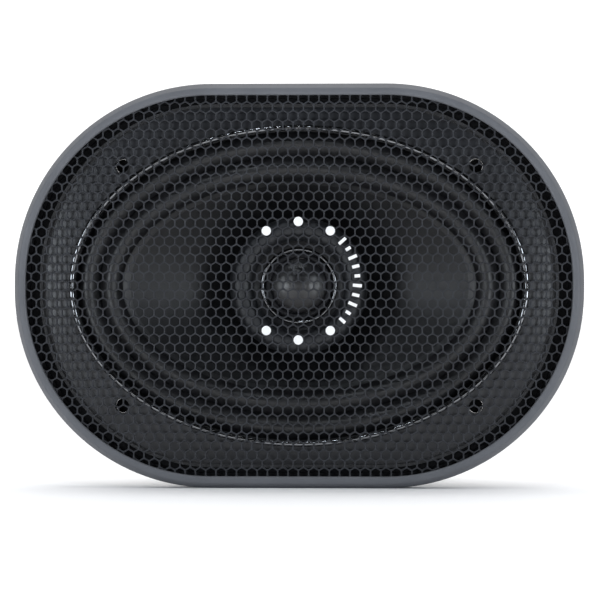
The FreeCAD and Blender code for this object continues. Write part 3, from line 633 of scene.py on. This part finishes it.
def leads():
    """The two braided leads from the board to the cone's back."""
    curve = bpy.data.curves.new("lead_route", "CURVE")
    curve.dimensions = "3D"
    curve.bevel_depth = 0.6 * MM
    curve.bevel_resolution = 3
    curve.resolution_u = 10
    for side in (-1, 1):
        route = [(62.0, 36.6, side * 8.0), (62.0, 31.0, side * 9.0), (61.0, 27.0, side * 10.0),
                 (50.0, 23.2, side * 11.0), (38.0, 18.0, side * 12.0)]
        spline = curve.splines.new("NURBS")
        spline.points.add(len(route) - 1)
        for point, place in zip(spline.points, route):
            point.co = (*(Vector(place) * MM), 1)
        spline.order_u = 3
        spline.use_endpoint_u = True
    holder = bpy.data.objects.new("lead_route", curve)
    bpy.context.scene.collection.objects.link(holder)
    bpy.context.view_layer.update()
    mesh = bpy.data.meshes.new_from_object(holder)
    bpy.data.objects.remove(holder)
    made = bpy.data.objects.new("braided_leads", mesh)
    mesh.materials.clear()
    mesh.materials.append(MATERIALS["tinsel_braid"])
    bpy.context.scene.collection.objects.link(made)
    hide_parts("tinsel_leads")
    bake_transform(made)


leads()

# ---------------------------------------------------------------- gasket, its bead and the tweeter

GASKET_CORNER = 79.0
GASKET_FALL = 1.6
HOLE_RADIUS = 3.25
RAYS = 288


def ray_to_oval(x, z, half_x, half_z, corner):
    """Where the ray from the axis through a point meets a rounded rectangle."""
    low, high = 0.5, 3.0
    for _ in range(40):
        middle = (low + high) / 2
        if beyond(x * middle, z * middle, half_x, half_z, corner) < 0:
            low = middle
        else:
            high = middle
    return x * low, z * low


def screw_centres():
    """The mounting holes' centres in millimetres, from the record's bolt pattern."""
    pattern = next(m for m in frame["record"]["mounts"] if m["kind"] == "bolt_pattern")["dims"]
    return [(side_x * pattern["spacing_x_mm"] / 2, side_z * pattern["spacing_y_mm"] / 2)
            for side_x in (-1, 1) for side_z in (-1, 1)]


def bore_holes(target):
    """Cuts the four screw holes through a piece."""
    vertices = []
    faces = []
    for x, z in screw_centres():
        rings = [[(x + px, y, z + pz) for px, _, pz in ellipse(HOLE_RADIUS, HOLE_RADIUS, 0, 48)]
                 for y in (-12.0, 2.0)]
        base = len(vertices)
        more, links = skin(rings, closed=False)
        faces += [tuple(base + i for i in face) for face in links]
        vertices += more
    cutter = bpy.data.objects.new("screw_cutter", solid_mesh("screw_cutter", vertices, faces))
    bpy.context.scene.collection.objects.link(cutter)
    cut = target.modifiers.new("holes", "BOOLEAN")
    cut.operation = "DIFFERENCE"
    cut.solver = "EXACT"
    cut.object = cutter
    bpy.context.view_layer.update()
    seen = target.evaluated_get(bpy.context.evaluated_depsgraph_get())
    bored = bpy.data.meshes.new_from_object(seen)
    target.modifiers.clear()
    target.data = bored
    bored.set_sharp_from_angle(angle=math.radians(35))
    bpy.data.objects.remove(cutter)


def bead_rings():
    """A half-round glossy bead along the gasket's inner edge."""
    front = gasket_low.y
    rings = []
    for step in range(13):
        angle = math.pi * step / 12
        out = 1.4 - 1.25 * math.cos(angle)
        rings.append(ellipse(SURROUND_X + out, SURROUND_Z + out,
                             front + 0.75 - 0.95 * math.sin(angle)))
    return rings


piece("gasket_bead", *skin(bead_rings()), "face_gloss", "chassis", look="bead_gloss")


def gasket_rings(steps=28):
    """The gasket's crowned front, its outer wall and its flat back, ray by ray from the bead."""
    outer_x, outer_z, corner = gasket_high.x, gasket_high.z, GASKET_CORNER
    inner = ellipse(SURROUND_X + 0.4, SURROUND_Z + 0.4, 0, RAYS)
    outer = [ray_to_oval(x, z, outer_x, outer_z, corner) for x, _, z in inner]
    front, back = gasket_low.y + 0.7, gasket_high.y
    rings = []
    for step in range(steps + 1):
        share = step / steps
        ring = []
        for (x, _, z), (far_x, far_z) in zip(inner, outer):
            span = math.hypot(far_x - x, far_z - z)
            drop = min(GASKET_FALL, 0.17 * span) * share ** 1.5
            ring.append((x + (far_x - x) * share, front + drop, z + (far_z - z) * share))
        rings.append(ring)
    rings.append([(x, back, z) for x, _, z in rings[-1]])
    land = [(x, back, z) for x, _, z in ellipse(SURROUND_X + 5.3, SURROUND_Z + 5.3, 0, RAYS)]
    rings.append(land)
    rings.append([(x, front + 1.4, z) for x, _, z in land])
    rings.append([(x, front + 1.4, z) for x, _, z in inner])
    return rings


piece("gasket_plate", *skin(gasket_rings()), "gasket_grey", "chassis", ["front_gasket"])
bore_holes(bpy.data.objects["gasket_plate"])

FACE_OPENING = 15.8
profile = [(FACE_OPENING, -0.6), (FACE_OPENING, -2.4), (FACE_OPENING + 2.0, -2.55), (19.5, -3.0),
           (21.2, -3.7), (22.4, face_low.y),
            (23.5, face_low.y), (24.0, face_low.y + 0.5), (24.0, -3.2), (22.0, -3.2),
            (22.0, -0.6)]
rings = [ellipse(radius, radius, y, 160) for radius, y in profile]
piece("tweeter_face", *skin(rings), "face_gloss", "chassis", ["tweeter_faceplate"])

profile = arc_points((FACE_OPENING + 0.02, -2.3), -3.3, (FACE_OPENING + 1.9, -2.3), 16)
rings = [ellipse(radius, radius, y, 160) for radius, y in profile]
piece("tweeter_bead", *skin(rings), "face_gloss", "chassis", look="bead_gloss")


def dome_rings(wall=0.3):
    """The dome's inside from its top to its rim, then its outside from the rim to the top."""
    radius = dome_high.x
    height = dome_high.y - dome_low.y
    sphere = (radius ** 2 + height ** 2) / (2 * height)
    outer = [math.asin(radius / sphere) * (1 - step / 23) for step in range(23)]
    inner = [math.acos((sphere - height) / (sphere - wall)) * (1 - step / 23) for step in range(23)]

    def ring(angle, size):
        """The circle at an angle from the axis on a sphere of a size."""
        reach = size * math.sin(angle)
        return ellipse(reach, reach, dome_low.y + sphere - size * math.cos(angle), 128)
    return ([ring(angle, sphere - wall) for angle in reversed(inner)]
            + [ring(angle, sphere) for angle in outer])


piece("silk_dome", *skin(dome_rings(), closed=False), "dome_silk",
      "tweeter_diaphragm", ["tweeter_dome"])

front = arc_points((12.75, -1.7), -3.0, (15.4, -1.7), 18)
back = [(radius, y + 0.3) for radius, y in reversed(front)]
profile = front + [(15.5, -0.6), (16.6, -0.6), (16.6, -0.4), (15.1, -0.4)] + back
roll = piece("silk_roll", *skin([ellipse(radius, radius, y, ROLL_STEPS) for radius, y in profile]),
             "dome_silk", None, ["tweeter_surround"], look="roll_silk")
weights = []
for radius, _ in profile:
    weights += [eased((radius - ROLL_INNER) / ROLL_SPAN)] * ROLL_STEPS
set_blend(roll)

# ---------------------------------------------------------------- finishes of the CAD nodes

for part in frame["record"]["subparts"]:
    target = frame["nodes"][part["node"]]
    for place in target.material_slots:
        place.material = MATERIALS[part["material_slot"]]

# ---------------------------------------------------------------- stage, light and camera

def stage_floor():
    """A wide white floor under the grille's lower edge."""
    mesh = bpy.data.meshes.new("floor")
    mesh.from_pydata([(-12, -12, 0), (12, -12, 0), (12, 12, 0), (-12, 12, 0)], [], [(0, 1, 2, 3)])
    made = bpy.data.objects.new("floor", mesh)
    made.location.z = cad_low.z
    bpy.context.scene.collection.objects.link(made)
    paper = bpy.data.materials.new("floor_paper")
    paper.use_nodes = True
    shader = paper.node_tree.nodes["Principled BSDF"]
    shader.inputs["Base Color"].default_value = (0.93, 0.93, 0.94, 1)
    shader.inputs["Roughness"].default_value = 0.9
    shader.inputs["Specular IOR Level"].default_value = 0.1
    mesh.materials.append(paper)


def painted_hole_shade():
    """A small dark card of the set behind each screw hole: painted shade that makes the hole look
    empty and dark.
    """
    vertices = []
    faces = []
    for hole_x, hole_z in screw_centres():
        base = len(vertices)
        vertices += [((hole_x + x) * MM, -0.3 * MM, (hole_z + z) * MM)
                     for x, _, z in ellipse(3.2, 3.2, 0, 32)]
        faces.append(tuple(range(base, base + 32)))
    mesh = bpy.data.meshes.new("painted_hole_shade")
    mesh.from_pydata(vertices, [], faces)
    mesh.materials.append(MATERIALS["black_plastic"])
    made = bpy.data.objects.new("painted_hole_shade", mesh)
    bpy.context.scene.collection.objects.link(made)


def area(name, place, size, power, aim=(0, 0, 0)):
    """A soft box that looks at a point."""
    light = bpy.data.lights.new(name, "AREA")
    light.shape = "RECTANGLE"
    light.size, light.size_y = size
    light.energy = power
    light.color = (0.86, 0.93, 1.0)
    made = bpy.data.objects.new(name, light)
    made.location = place
    made.rotation_euler = (Vector(aim) - Vector(place)).to_track_quat("-Z", "Y").to_euler()
    bpy.context.scene.collection.objects.link(made)


def sun(name, strength, spread):
    """An even light from straight above."""
    light = bpy.data.lights.new(name, "SUN")
    light.energy = strength
    light.angle = math.radians(spread)
    bpy.context.scene.collection.objects.link(bpy.data.objects.new(name, light))


def world_light():
    """A white room that darkens towards the side the speaker faces."""
    world = bpy.data.worlds.new("studio")
    bpy.context.scene.world = world
    world.use_nodes = True
    tree = world.node_tree
    direction = tree.nodes.new("ShaderNodeTexCoord").outputs["Generated"]
    parts = tree.nodes.new("ShaderNodeSeparateXYZ")
    tree.links.new(direction, parts.inputs["Vector"])
    fade = add(tree, "ShaderNodeMapRange", From_Min=-0.35, From_Max=0.5, To_Min=0.02, To_Max=1.25)
    fade.interpolation_type = "SMOOTHSTEP"
    tree.links.new(parts.outputs["Y"], fade.inputs["Value"])
    background = tree.nodes["Background"]
    background.inputs["Color"].default_value = (1, 1, 1, 1)
    tree.links.new(fade.outputs["Result"], background.inputs["Strength"])


CAMERA_DISTANCE = 1.2
CAMERA_WIDTH = 0.2729
CAMERA_AIM_X = 0.00085
CAMERA_DROP = 0.0065
CAMERA_AZIMUTH = 2.0


def camera():
    """A long lens straight in front, a touch to the right, that takes in the camera's width."""
    data = bpy.data.cameras.new("camera")
    data.sensor_width = 36
    data.lens = data.sensor_width * CAMERA_DISTANCE / CAMERA_WIDTH
    made = bpy.data.objects.new("camera", data)
    bpy.context.scene.collection.objects.link(made)
    aim = Vector((CAMERA_AIM_X, cad_low.y, (cad_low.z + cad_high.z) / 2 - CAMERA_DROP))
    azimuth = math.radians(CAMERA_AZIMUTH)
    made.location = aim + CAMERA_DISTANCE * Vector((math.sin(azimuth), -math.cos(azimuth), 0.0))
    made.rotation_euler = (aim - made.location).to_track_quat("-Z", "Y").to_euler()
    bpy.context.scene.camera = made


stage_floor()
# painted shade: dark discs behind the screw holes
painted_hole_shade()
world_light()
area("left_box", (-0.62, -0.79, 0.0), (0.34, 0.5), 4.6)
area("right_box", (0.62, -0.79, 0.0), (0.34, 0.5), 4.6)
area("upper_strip", (-0.15, -0.64, 0.74), (0.3, 0.035), 1.3)
sun("top_light", 1.7, 40)
camera()
bpy.context.scene.view_settings.view_transform = "Standard"
